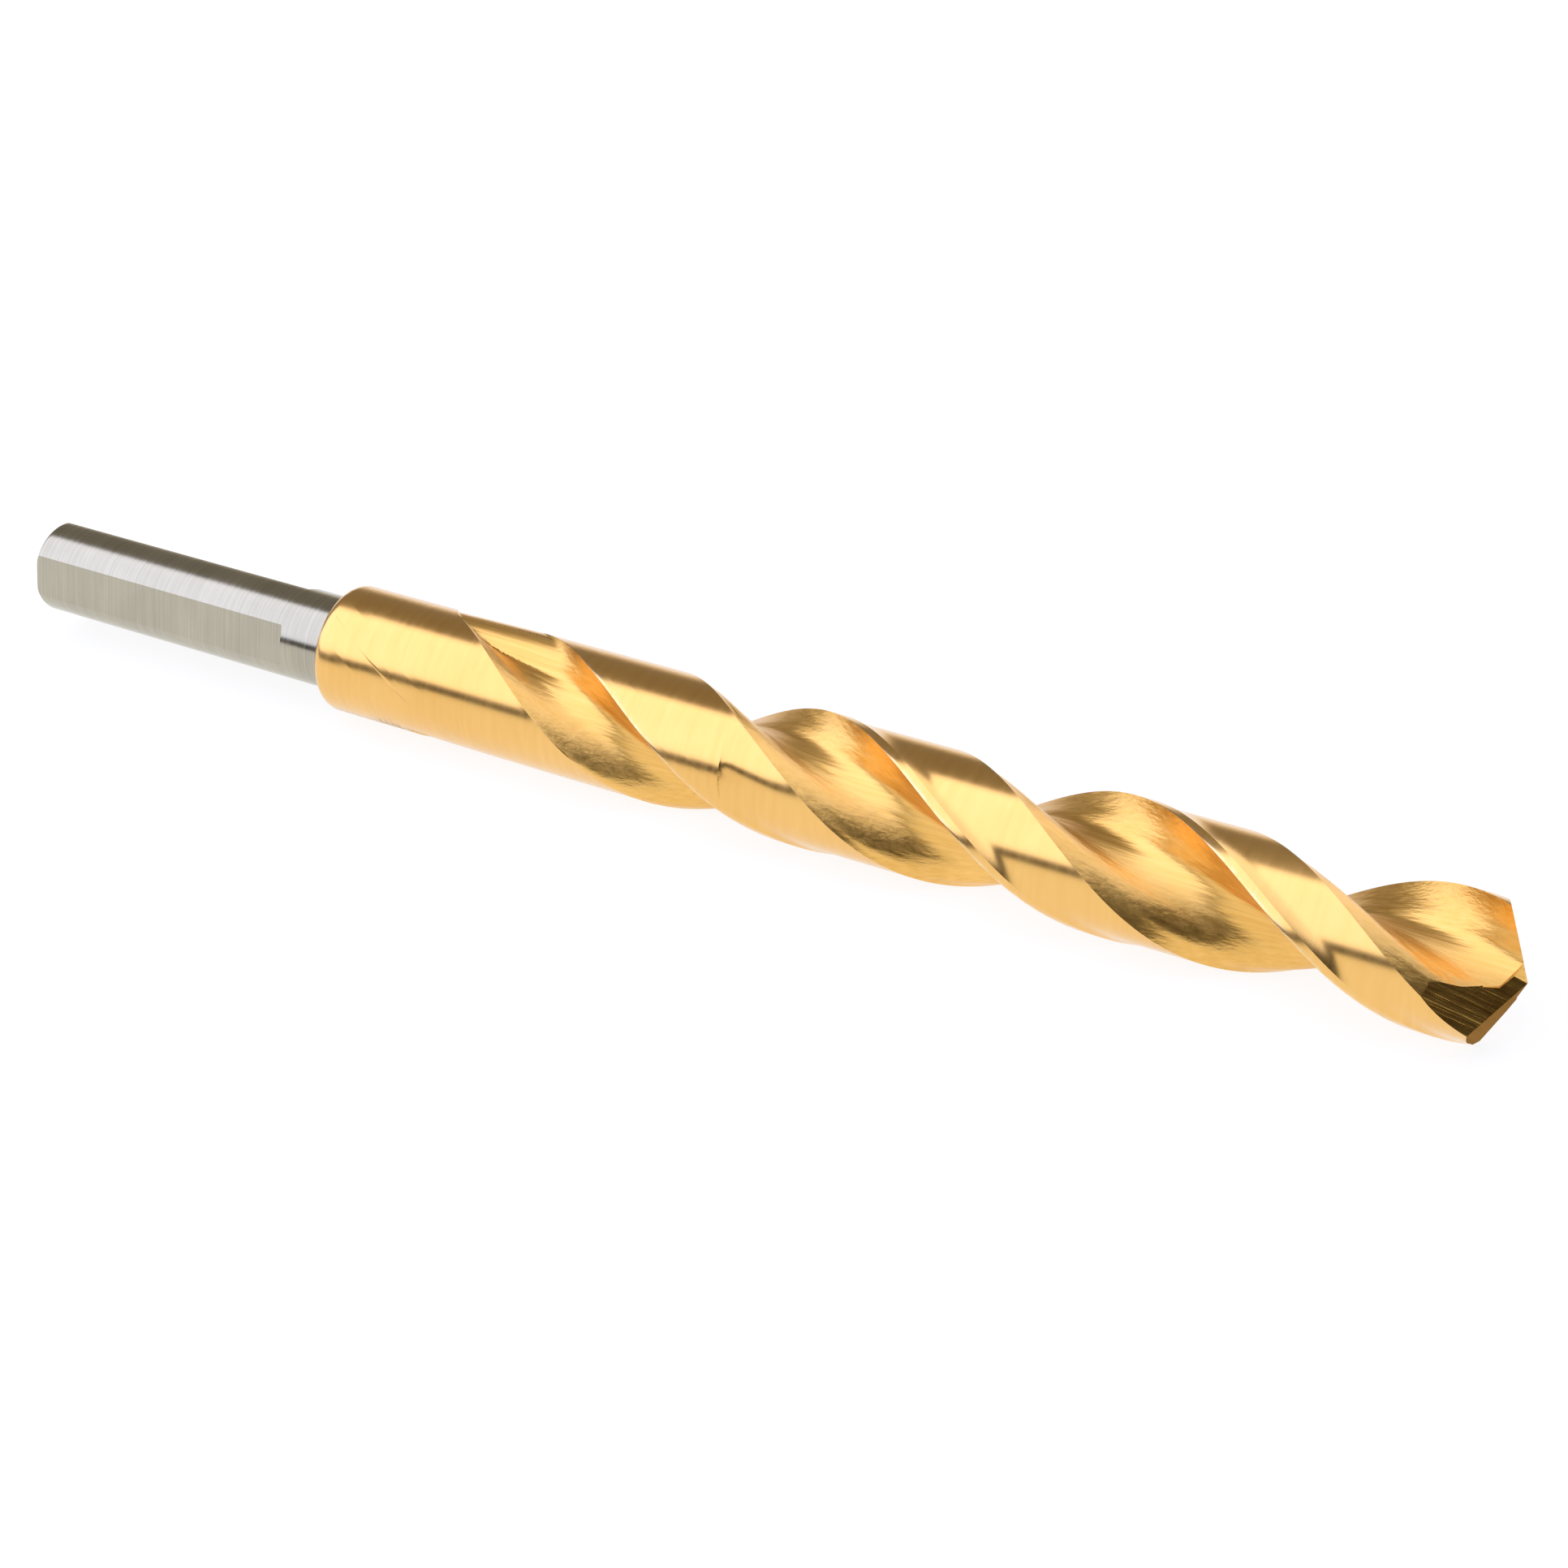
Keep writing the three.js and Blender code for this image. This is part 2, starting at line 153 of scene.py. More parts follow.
def half_section(x):
    """[radius, angle from the leading edge] across one land and the flute ahead of it."""
    heel_r = float(land_r(x, 0.0))
    d = (LENGTH - x) * WEB_TAPER
    # towards the point a low ridge parts the heel strip from the flute
    grow = min(1.0, max(0.0, (x - 118) / 22))
    grow = grow * grow * (3 - 2 * grow) * RIDGE
    g = FULL + grow * RIDGE_SHAPE + d * np.array([math.cos(WEB_DIR), math.sin(WEB_DIR)])
    rad = np.hypot(g[:, 0], g[:, 1])
    i0 = int(np.argmax(rad < R))
    i1 = len(rad) - 1 - int(np.argmax(rad[::-1] <= heel_r))

    def cut(a, b, r):
        ra, rb = np.hypot(*a), np.hypot(*b)
        return a + (b - a) * (r - ra) / (rb - ra)

    line = np.vstack([cut(g[i0 - 1], g[i0], R), g[i0:i1 + 1], cut(g[i1], g[i1 + 1], heel_r)])
    s = np.concatenate([[0], np.cumsum(np.hypot(*np.diff(line, axis=0).T))])
    u = np.linspace(0, 1, N_FLUTE)
    u = u + 0.035 * np.sin(2 * math.pi * u) * -1  # denser at both edges
    u[0], u[-1] = 0, 1
    t = u * s[-1]
    px, py = np.interp(t, s, line[:, 0]), np.interp(t, s, line[:, 1])
    a0 = math.atan2(line[0, 1], line[0, 0])
    fr = np.hypot(px, py)
    fa = np.unwrap(np.arctan2(py, px)) - a0
    if x < FLUTE_FULL:
        # run-out: the wheel lifts out, first along the leading side, last at the heel
        limit = min(fa[-1], max(0.4, 1.197 + 0.139 * (x - 48.1)))
        fa = fa * (limit / fa[-1])
        deep = RUNOUT_CURVE * np.maximum(0.0, x - RUNOUT_X + RUNOUT_SKEW * fa) ** 2
        lift = R - deep
        k = 0.45
        h = np.clip(0.5 + 0.5 * (fr - lift) / k, 0, 1)
        fr = np.minimum(R, lift * (1 - h) + fr * h + k * h * (1 - h))
        if x <= FLUTE_END:
            fr = np.full_like(fr, R)
    heel = fa[-1] - math.pi
    inner = -MARGIN - MARGIN_FILLET
    la = heel + (inner - heel) * np.linspace(0, 1, N_LAND + 1)[1:]
    lr = land_r(x, np.linspace(0, 1, N_LAND + 1)[1:])
    in_r = float(land_r(x, 1.0))
    # concave fillet from the clearance up to the margin
    w = np.array([0.12, 0.26, 0.4, 0.54, 0.67, 0.79, 0.89, 0.965])
    ma = inner + MARGIN_FILLET * w
    mr = in_r + (R - in_r) * w**2.1
    ea = np.array([-MARGIN, -MARGIN * 0.66, -MARGIN * 0.33, -0.012])
    er = np.full(4, R)
    # tiny round on the leading edge
    fr = fr.copy()
    fa = fa.copy()
    fr[0] -= 0.012
    return np.concatenate([lr, mr, er, fr]), np.concatenate([la, ma, ea, fa])


def body_rings():
    out = []

    def ring(x, cap=None, only=None):
        r, a = half_section(x)
        if only is not None:
            r = np.full_like(r, only)
        elif cap is not None:
            r = np.minimum(r, cap)
        rr = np.concatenate([r, r])
        aa = np.concatenate([a, a + math.pi])
        xs = np.full_like(rr, x)
        # the start of the clearance grind bows slightly towards the shank
        if abs(x - CLEAR_X) < 3.0 and only is None:
            heel = a[0]
            bow = np.sin(math.pi * np.clip((a - heel) / (-MARGIN - heel), 0, 1))
            bow = np.concatenate([bow, bow])
            w = (1 - (abs(x - CLEAR_X) / 3.0) ** 2) ** 2
            xs = xs - 0.34 * bow * w
        th = lead(xs) + aa
        out.append(np.stack([xs, rr * np.cos(th), rr * np.sin(th)], 1))

    hole = SHANK_R + 0.03
    ring(COLLAR_X + SOCKET_DEPTH, only=hole - 1.2)
    ring(COLLAR_X + SOCKET_DEPTH, only=hole)
    ring(COLLAR_X + SOCKET_DEPTH * 0.5, only=hole)
    ring(COLLAR_X + 0.06, only=hole)
    ring(COLLAR_X, only=hole + 0.06)
    ring(COLLAR_X, only=(hole + R - RIM_R) / 2)
    for k in np.linspace(0, 90, 13):
        t = math.radians(k)
        ring(COLLAR_X + RIM_R * (1 - math.cos(t)) + 1e-6, only=R - RIM_R + RIM_R * math.sin(t))
    xs = list(np.arange(37.7, FLUTE_END - 0.2, 0.7))
    xs += list(np.arange(FLUTE_END, CLEAR_X - 0.2, 0.42))
    xs += [CLEAR_X - 0.1] + [CLEAR_X + STEP_LEN * k for k in (0, 0.05, 0.11, 0.18, 0.26, 0.35, 0.45, 0.56, 0.7, 0.85, 1.0)]
    xs += list(np.arange(CLEAR_X + STEP_LEN + 0.35, 144, 0.42))
    xs += list(np.linspace(144.2, LENGTH + 0.6, 30))
    for x in xs:
        ring(float(x))
    return out


def mesh_from_rings(name, rings):
    n = len(rings[0])
    verts = np.vstack(rings) * MM
    faces = []
    for k in range(len(rings) - 1):
        a = k * n
        for i in range(n):
            j = (i + 1) % n
            faces.append((a + i, a + j, a + n + j, a + n + i))
    faces.append(tuple(range(n - 1, -1, -1)))
    faces.append(tuple(range((len(rings) - 1) * n, len(rings) * n)))
    me = bpy.data.meshes.new(name)
    me.from_pydata(verts.tolist(), [], faces)
    me.validate()
    bm = bmesh.new()
    bm.from_mesh(me)
    big = [f for f in bm.faces if len(f.verts) > 4]
    bmesh.ops.triangulate(bm, faces=big)
    bmesh.ops.recalc_face_normals(bm, faces=bm.faces)
    bm.to_mesh(me)
    bm.free()
    ob = bpy.data.objects.new(name, me)
    bpy.context.scene.collection.objects.link(ob)
    return ob


def convex_cutter(name, planes, size=40.0, centre=(LENGTH, 0, 0)):
    """Convex block: the part of a cube on the outward side of every (point, normal)."""
    bm = bmesh.new()
    bmesh.ops.create_cube(bm, size=size * MM)
    bmesh.ops.translate(bm, verts=bm.verts, vec=Vector(centre) * MM)
    for p, nrm in planes:
        geom = bm.verts[:] + bm.edges[:] + bm.faces[:]
        bmesh.ops.bisect_plane(bm, geom=geom, plane_co=Vector(p) * MM, plane_no=Vector(nrm), clear_inner=True, dist=1e-9)
        edges = [e for e in bm.edges if e.is_boundary]
        bmesh.ops.holes_fill(bm, edges=edges, sides=0)
    bmesh.ops.triangulate(bm, faces=bm.faces)
    bmesh.ops.recalc_face_normals(bm, faces=bm.faces)
    me = bpy.data.meshes.new(name)
    bm.to_mesh(me)
    bm.free()
    ob = bpy.data.objects.new(name, me)
    bpy.context.scene.collection.objects.link(ob)
    return ob


def apply_cuts(ob, cutters, solver="EXACT"):
    for c in cutters:
        m = ob.modifiers.new("cut", "BOOLEAN")
        m.operation = "DIFFERENCE"
        m.object = c
        m.solver = solver
    dg = bpy.context.evaluated_depsgraph_get()
    me = bpy.data.meshes.new_from_object(ob.evaluated_get(dg), depsgraph=dg)
    ob.modifiers.clear()
    old = ob.data
    ob.data = me
    bpy.data.meshes.remove(old)
    for c in cutters:
        cm = c.data
        bpy.data.objects.remove(c)
        bpy.data.meshes.remove(cm)


# ------------------------------------------------------------------ point facets
APEX = Vector((LENGTH, 0, 0))


def spun(v):
    return Vector((v.x, -v.y, -v.z))


corner_a = Vector((CORNER_X, R * math.cos(CORNER_A + math.pi), R * math.sin(CORNER_A + math.pi)))
flank_n = (corner_a - APEX).cross(LAND_END - APEX).normalized()
if flank_n.x < 0:
    flank_n.negate()
ahead_b = Vector((0, -math.sin(CORNER_A), math.cos(CORNER_A)))
wall_n = (ahead_b + Vector((WALL_LEAN, 0, 0))).normalized()
wall_p = APEX + ahead_b * WALL_OFFSET


def notch_wall(p, q):
    """Normal of the notch wall that rises from the line p-q in the gash face."""
    side = GASH_N.cross((q - p).normalized()).normalized()
    if side.x < 0:
        side.negate()
    return (GASH_N * math.cos(NOTCH_TILT) + side * math.sin(NOTCH_TILT)).normalized()


notch_n = notch_wall(NOTCH_P, NOTCH_Q)
notch_m = notch_wall(NOTCH_Q, NOTCH_R)

body = mesh_from_rings("drill_body", body_rings())
cuts = []
for turn in (lambda v: v, spun):
    cuts.append(convex_cutter("cut_flank", [(turn(APEX), turn(flank_n))]))
for turn in (lambda v: v, spun):
    cuts.append(convex_cutter("cut_gash", [(turn(APEX), turn(GASH_N)), (turn(wall_p), turn(wall_n)), (turn(NOTCH_P), turn(notch_n))]))
    cuts.append(convex_cutter("cut_valley", [(turn(APEX), turn(GASH_N)), (turn(NOTCH_Q), turn(notch_m)), (turn(NOTCH_Q), turn(NOTCH_Q - NOTCH_P))]))
    cuts.append(convex_cutter("cut_heel", [(turn(APEX), turn(GASH_N)), (turn(NOTCH_R), turn(NOTCH_R - NOTCH_Q))]))
apply_cuts(body, cuts)

# ------------------------------------------------------------------ shank
def shank_mesh():
    n = 256
    prof = [(0.0, 0.6), (0.0, 2.2), (0.0, SHANK_R - SHANK_CHAMFER - 0.12)]
    for k in np.linspace(0, 90, 9):
        t = math.radians(k)
        c = SHANK_CHAMFER
        prof.append((c * (1 - math.cos(t)) * 0.9, SHANK_R - c + c * math.sin(t)))
    prof += [(x, SHANK_R) for x in np.linspace(0.8, COLLAR_X - 0.6, 60)]
    prof += [(COLLAR_X - 0.3, SHANK_R), (COLLAR_X + SOCKET_DEPTH - 0.3, SHANK_R), (COLLAR_X + SOCKET_DEPTH - 0.3, 2.0)]
    rings = []
    for x, r in prof:
        t = 2 * math.pi * (np.arange(n) + 0.5) / n
        rings.append(np.stack([np.full(n, x), r * np.cos(t), r * np.sin(t)], 1))
    return mesh_from_rings("drill_shank", rings)


def flat_cutter(angle):
    """Block whose inner face is the flat; its front corners are round."""
    w = math.sqrt(SHANK_R**2 - FLAT_D**2) + 1.5
    rc = 2.6
    pts = [(-2.0, -w)]
    for k in np.linspace(-90, 90, 25):
        t = math.radians(k)
        pts.append((FLAT_LEN - rc + rc * math.cos(t), (-(w - rc) if k < 0 else (w - rc)) + rc * math.sin(t)))
    pts.append((-2.0, w))
    nrm = Vector((0, math.cos(angle), math.sin(angle)))
    tan = Vector((0, math.sin(angle), -math.cos(angle)))
    bm = bmesh.new()
    lo, hi = [], []
    for x, t in pts:
        for h, store in ((FLAT_D, lo), (FLAT_D + 3.0, hi)):
            store.append(bm.verts.new((Vector((x, 0, 0)) + tan * t + nrm * h) * MM))
    m = len(pts)
    bm.faces.new(lo[::-1])
    bm.faces.new(hi)
    for i in range(m):
        j = (i + 1) % m
        bm.faces.new((lo[i], lo[j], hi[j], hi[i]))
    bmesh.ops.recalc_face_normals(bm, faces=bm.faces)
    bmesh.ops.triangulate(bm, faces=bm.faces)
    me = bpy.data.meshes.new("cut_flat")
    bm.to_mesh(me)
    bm.free()
    ob = bpy.data.objects.new("cut_flat", me)
    bpy.context.scene.collection.objects.link(ob)
    return ob


shank = shank_mesh()
apply_cuts(shank, [flat_cutter(a) for a in FLAT_ANGLES])

# ------------------------------------------------------------------ surface coordinates
def add_coords(ob, helical):
    """Stores where each point is in the ground surface's own directions: along the helix, across it, and the edge nearness."""
    me = ob.data
    co = np.empty(len(me.vertices) * 3)
    me.vertices.foreach_get("co", co)
    co = co.reshape(-1, 3) / MM
    x, y, z = co.T
    r = np.hypot(y, z)
    th = np.arctan2(z, y)
    a = th - lead(x) if helical else th
    un = np.stack([x, r * np.cos(a), r * np.sin(a)], 1)
    at = me.attributes.new("helix_co", "FLOAT_VECTOR", "POINT")
    at.data.foreach_set("vector", un.astype(np.float32).ravel())
    b = th - 0.18 * lead(x) if helical else th
    gr = np.stack([x, r * np.cos(b), r * np.sin(b)], 1)
    at = me.attributes.new("grind_co", "FLOAT_VECTOR", "POINT")
    at.data.foreach_set("vector", gr.astype(np.float32).ravel())
    edge = np.zeros(len(x))
    if helical:
        half = (a + math.pi / 2) % math.pi - math.pi / 2  # angle from the nearer leading edge
        on = np.clip((x - FLUTE_END - 4) / 8, 0, 1)
        # nearness to the leading edges and the collar rim; it drives a light cream that is partly edge wear and partly
        # painted highlight along these edges
        edge = np.exp(-np.abs(half * r) / 0.16) * np.exp(-np.abs(r - R) / 0.1) * on
        edge = np.maximum(edge, np.exp(-np.abs(x - COLLAR_X) / 0.5) * np.exp(-np.abs(r - (R - 0.5)) / 0.5) * 0.6)
    at = me.attributes.new("edge_near", "FLOAT", "POINT")
    at.data.foreach_set("value", edge.astype(np.float32))
    return co


def face_arrays(me):
    n = len(me.polygons)
    c = np.empty(n * 3)
    me.polygons.foreach_get("center", c)
    nn = np.empty(n * 3)
    me.polygons.foreach_get("normal", nn)
    return c.reshape(-1, 3) / MM, nn.reshape(-1, 3)


add_coords(body, True)
add_coords(shank, False)

# ------------------------------------------------------------------ materials
def new_mat(name):
    m = bpy.data.materials.new(name)
    m.use_nodes = True
    nt = m.node_tree
    nt.nodes.clear()
    out = nt.nodes.new("ShaderNodeOutputMaterial")
    p = nt.nodes.new("ShaderNodeBsdfPrincipled")
    nt.links.new(p.outputs[0], out.inputs[0])
    p.inputs["Metallic"].default_value = 1.0
    return m, nt, p


def node(nt, kind, **kw):
    n = nt.nodes.new(kind)
    for k, v in kw.items():
        setattr(n, k, v)
    return n


def mapped(nt, attr, scale):
    a = node(nt, "ShaderNodeAttribute", attribute_name=attr)
    m = node(nt, "ShaderNodeMapping")
    m.inputs["Scale"].default_value = scale
    nt.links.new(a.outputs["Vector"], m.inputs["Vector"])
    return m.outputs[0]


def object_mapped(nt, scale, rotation=(0, 0, 0)):
    a = node(nt, "ShaderNodeTexCoord")
    m = node(nt, "ShaderNodeMapping")
    m.inputs["Scale"].default_value = scale
    m.inputs["Rotation"].default_value = rotation
    nt.links.new(a.outputs["Object"], m.inputs["Vector"])
    return m.outputs[0]


def noise(nt, vec, scale, detail=3.0, rough=0.55, dist=0.0):
    n = node(nt, "ShaderNodeTexNoise")
    n.inputs["Scale"].default_value = scale
    n.inputs["Detail"].default_value = detail
    n.inputs["Roughness"].default_value = rough
    n.inputs["Distortion"].default_value = dist
    nt.links.new(vec, n.inputs["Vector"])
    return n.outputs["Fac"]


def ramp(nt, fac, stops):
    r = node(nt, "ShaderNodeValToRGB")
    cr = r.color_ramp
    while len(cr.elements) > 1:
        cr.elements.remove(cr.elements[-1])
    for i, (pos, col) in enumerate(stops):
        e = cr.elements[0] if i == 0 else cr.elements.new(pos)
        e.position = pos
        e.color = col if len(col) == 4 else (*col, 1)
    nt.links.new(fac, r.inputs["Fac"])
    return r.outputs["Color"]


def maprange(nt, fac, a, b, c, d):
    m = node(nt, "ShaderNodeMapRange")
    m.inputs["From Min"].default_value = a
    m.inputs["From Max"].default_value = b
    m.inputs["To Min"].default_value = c
    m.inputs["To Max"].default_value = d
    nt.links.new(fac, m.inputs["Value"])
    return m.outputs[0]


def math_node(nt, op, a, b):
    m = node(nt, "ShaderNodeMath", operation=op)
    for i, v in enumerate((a, b)):
        if isinstance(v, (int, float)):
            m.inputs[i].default_value = v
        else:
            nt.links.new(v, m.inputs[i])
    return m.outputs[0]


def mix_rgb(nt, fac, a, b, blend="MIX"):
    m = node(nt, "ShaderNodeMix", data_type="RGBA", blend_type=blend)
    if isinstance(fac, (int, float)):
        m.inputs[0].default_value = fac
    else:
        nt.links.new(fac, m.inputs[0])
    for i, v in ((6, a), (7, b)):
        if isinstance(v, tuple):
            m.inputs[i].default_value = (*v, 1)
        else:
            nt.links.new(v, m.inputs[i])
    return m.outputs[2]


def bump(nt, height, strength, distance, prev=None):
    b = node(nt, "ShaderNodeBump")
    b.inputs["Strength"].default_value = strength
    b.inputs["Distance"].default_value = distance
    nt.links.new(height, b.inputs["Height"])
    if prev is not None:
        nt.links.new(prev, b.inputs["Normal"])
    return b.outputs[0]


def gold(name, vec_fn, base_lo, base_hi, rough, streak_scale, streak_bump, rough_var, edge=True, depth=0.00003, coat=0.5, edge_tint=(1.0, 1.0, 1.0)):
    m, nt, p = new_mat(name)
    p.inputs["Coat Weight"].default_value = coat
    p.inputs["Specular Tint"].default_value = (*edge_tint, 1)
    p.inputs["Coat Roughness"].default_value = 0.22
    p.inputs["Coat IOR"].default_value = 1.7
    fine = noise(nt, vec_fn(nt, 1.0), streak_scale, 3.0, 0.6)
    broad = noise(nt, vec_fn(nt, 0.25), streak_scale * 0.35, 2.0, 0.5)
    blot = noise(nt, object_mapped(nt, (1, 1, 1)), 95.0, 2.0, 0.5)
    mixf = math_node(nt, "MULTIPLY_ADD", fine, 0.55)
    nt.nodes[-1].inputs[2].default_value = 0.0
    tone = math_node(nt, "ADD", mixf, math_node(nt, "MULTIPLY", blot, 0.45))
    col = ramp(nt, tone, [(0.3, base_lo), (0.7, base_hi)])
    # light cream near the edges and the collar rim: partly edge wear, partly painted highlight
    if edge:
        ea = node(nt, "ShaderNodeAttribute", attribute_name="edge_near")
        wear_and_highlight_noise = noise(nt, object_mapped(nt, (1, 1, 1)), 900.0, 3.0, 0.6)
        wear_and_edge_highlight = math_node(nt, "MULTIPLY", ea.outputs["Fac"], maprange(nt, wear_and_highlight_noise, 0.35, 0.7, 0.1, 0.85))
        col = mix_rgb(nt, wear_and_edge_highlight, col, (0.93, 0.82, 0.60))
    nt.links.new(col, p.inputs["Base Color"])
    rr = maprange(nt, math_node(nt, "ADD", math_node(nt, "MULTIPLY", fine, 0.6), math_node(nt, "MULTIPLY", blot, 0.4)), 0.3, 0.7, rough - rough_var, rough + rough_var)
    nt.links.new(rr, p.inputs["Roughness"])
    b1 = bump(nt, broad, streak_bump * 0.7, depth * 2)
    b2 = bump(nt, fine, streak_bump, depth, b1)
    nt.links.new(b2, p.inputs["Normal"])
    return m


def helix_vec(nt, k):
    # the wheel's marks: long, nearly along the drill, fine across
    return mapped(nt, "grind_co", (0.016 * k, 1.0 * k, 1.0 * k))


def ring_vec(nt, k):
    # cylindrical grinding: long round the axis, fine along it
    return object_mapped(nt, (9000.0 * k / 9, 90.0 * k, 90.0 * k))


LO, HI = (0.83, 0.465, 0.110), (0.90, 0.540, 0.155)
m_land = gold("coated_land", ring_vec, LO, HI, 0.21, 1.6, 0.10, 0.03, coat=0.5)
m_flute = gold("coated_flute", helix_vec, (0.74, 0.405, 0.080), (0.96, 0.59, 0.170), 0.34, 2.6, 0.9, 0.07, edge=False, depth=0.00006, coat=0.22)


def grind_vec_for(direction):
    """Lines along a direction: the coordinate is squeezed along it."""
    d = Vector(direction).normalized()
    helper = Vector((0, 0, 1)) if abs(d.z) < 0.9 else Vector((0, 1, 0))
    v = d.cross(helper).normalized()
    w = d.cross(v)
    rot = Matrix((d, v, w)).to_euler("XYZ")

    def f(nt, k):
        a = node(nt, "ShaderNodeTexCoord")
        r = node(nt, "ShaderNodeVectorRotate", rotation_type="EULER_XYZ")
        r.inputs["Rotation"].default_value = rot
        nt.links.new(a.outputs["Object"], r.inputs["Vector"])
        mp = node(nt, "ShaderNodeMapping")
        mp.inputs["Scale"].default_value = (25 * k, 1000 * k, 1000 * k)
        nt.links.new(r.outputs[0], mp.inputs["Vector"])
        return mp.outputs[0]

    return f


def ray_dir_in_plane(n, seed):
    s = Vector(seed)
    return (s - n * s.dot(n)).normalized()


gash_dir = ray_dir_in_plane(GASH_N, (0.830, 0.335, -0.447))
m_gash = gold("coated_gash", grind_vec_for(gash_dir), (0.42, 0.185, 0.022), (0.98, 0.60, 0.15), 0.26, 3.0, 1.0, 0.07, edge=False, depth=0.00009, coat=0.15)
gash_dir_b = Vector((gash_dir.x, -gash_dir.y, -gash_dir.z))
m_gash_b = gold("coated_gash_b", grind_vec_for(gash_dir_b), (0.42, 0.185, 0.022), (0.98, 0.60, 0.15), 0.26, 3.0, 1.0, 0.07, edge=False, depth=0.00009, coat=0.15)
flank_dir = ray_dir_in_plane(flank_n, (0.2, 0.5, -0.6))
m_flank = gold("coated_flank", grind_vec_for(flank_dir), (0.21, 0.112, 0.038), (0.42, 0.235, 0.085), 0.42, 3.0, 0.6, 0.06, edge=False, depth=0.00004, coat=0.0, edge_tint=(0.62, 0.46, 0.30))


def steel():
    m, nt, p = new_mat("bare_steel")
    lines = noise(nt, object_mapped(nt, (1000.0, 14.0, 14.0)), 6.0, 4.0, 0.62)
    wide = noise(nt, object_mapped(nt, (1000.0, 10.0, 10.0)), 1.3, 2.0, 0.5)
    blot = noise(nt, object_mapped(nt, (1, 1, 1)), 140.0, 3.0, 0.55)
    tone = math_node(nt, "ADD", math_node(nt, "MULTIPLY", lines, 0.6), math_node(nt, "MULTIPLY", blot, 0.4))
    col = ramp(nt, tone, [(0.3, (0.38, 0.352, 0.272)), (0.72, (0.53, 0.494, 0.390))])
    nt.links.new(col, p.inputs["Base Color"])
    nt.links.new(maprange(nt, tone, 0.3, 0.7, 0.14, 0.23), p.inputs["Roughness"])
    b1 = bump(nt, wide, 0.22, 0.00006)
    b2 = bump(nt, lines, 0.30, 0.00003, b1)
    nt.links.new(b2, p.inputs["Normal"])
    return m


m_steel = steel()

# ------------------------------------------------------------------ which face has which finish
for m in (m_land, m_flute, m_gash, m_flank, m_gash_b):
    body.data.materials.append(m)
cen, nor = face_arrays(body.data)
rad = np.hypot(cen[:, 1], cen[:, 2])
ang = np.arctan2(cen[:, 2], cen[:, 1]) - lead(cen[:, 0])
half = np.mod(ang, math.pi)  # 0 at a leading edge, growing across the flute
rn = np.stack([np.zeros(len(rad)), cen[:, 1] / np.maximum(rad, 1e-6), cen[:, 2] / np.maximum(rad, 1e-6)], 1)
radial = (nor * rn).sum(1)
cyl = (np.abs(rad - R) < 0.02) | ((rad > CLEAR_R - 0.03) & (radial > 0.86)) | (cen[:, 0] < FLUTE_END)
idx = np.where(cyl, 0, 1)
g = np.array(GASH_N)
gb = np.array([g[0], -g[1], -g[2]])
fn = np.array(flank_n)
fb = np.array([fn[0], -fn[1], -fn[2]])
tipward = cen[:, 0] > LENGTH - 16
idx = np.where(tipward & (nor @ g > 0.9995), 2, idx)
idx = np.where(tipward & (nor @ gb > 0.9995), 4, idx)
idx = np.where(tipward & ((nor @ fn > 0.9995) | (nor @ fb > 0.9995)), 3, idx)
body.data.polygons.foreach_set("material_index", idx.astype(np.int32))
shank.data.materials.append(m_steel)

for ob, deg in ((body, 24), (shank, 24)):
    ob.data.polygons.foreach_set("use_smooth", np.ones(len(ob.data.polygons), bool))
    ob.data.set_sharp_from_angle(angle=math.radians(deg))

for ob, nd, sl in ((body, "cutting_body", "coated_steel"), (shank, "shank", "bare_steel")):
    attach(ob, "root")
    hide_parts(nd)

# ------------------------------------------------------------------ floor
def floor_plane():
    me = bpy.data.meshes.new("floor")
    s = 3.0
    z = -R * MM
    me.from_pydata([(-s, -s, z), (s, -s, z), (s, s, z), (-s, s, z)], [], [(0, 1, 2, 3)])
    ob = bpy.data.objects.new("floor", me)
    bpy.context.scene.collection.objects.link(ob)
    m = bpy.data.materials.new("floor_white")
    m.use_nodes = True
    nt = m.node_tree
    p = nt.nodes["Principled BSDF"]
    p.inputs["Base Color"].default_value = (0.20, 0.20, 0.20, 1)
    p.inputs["Roughness"].default_value = 0.9
    p.inputs["Specular IOR Level"].default_value = 0.0
    p.inputs["Emission Color"].default_value = (1, 1, 1, 1)
    p.inputs["Emission Strength"].default_value = FLOOR_GLOW
    me.materials.append(m)
    return ob


FLOOR_GLOW = 0.86
floor_plane()

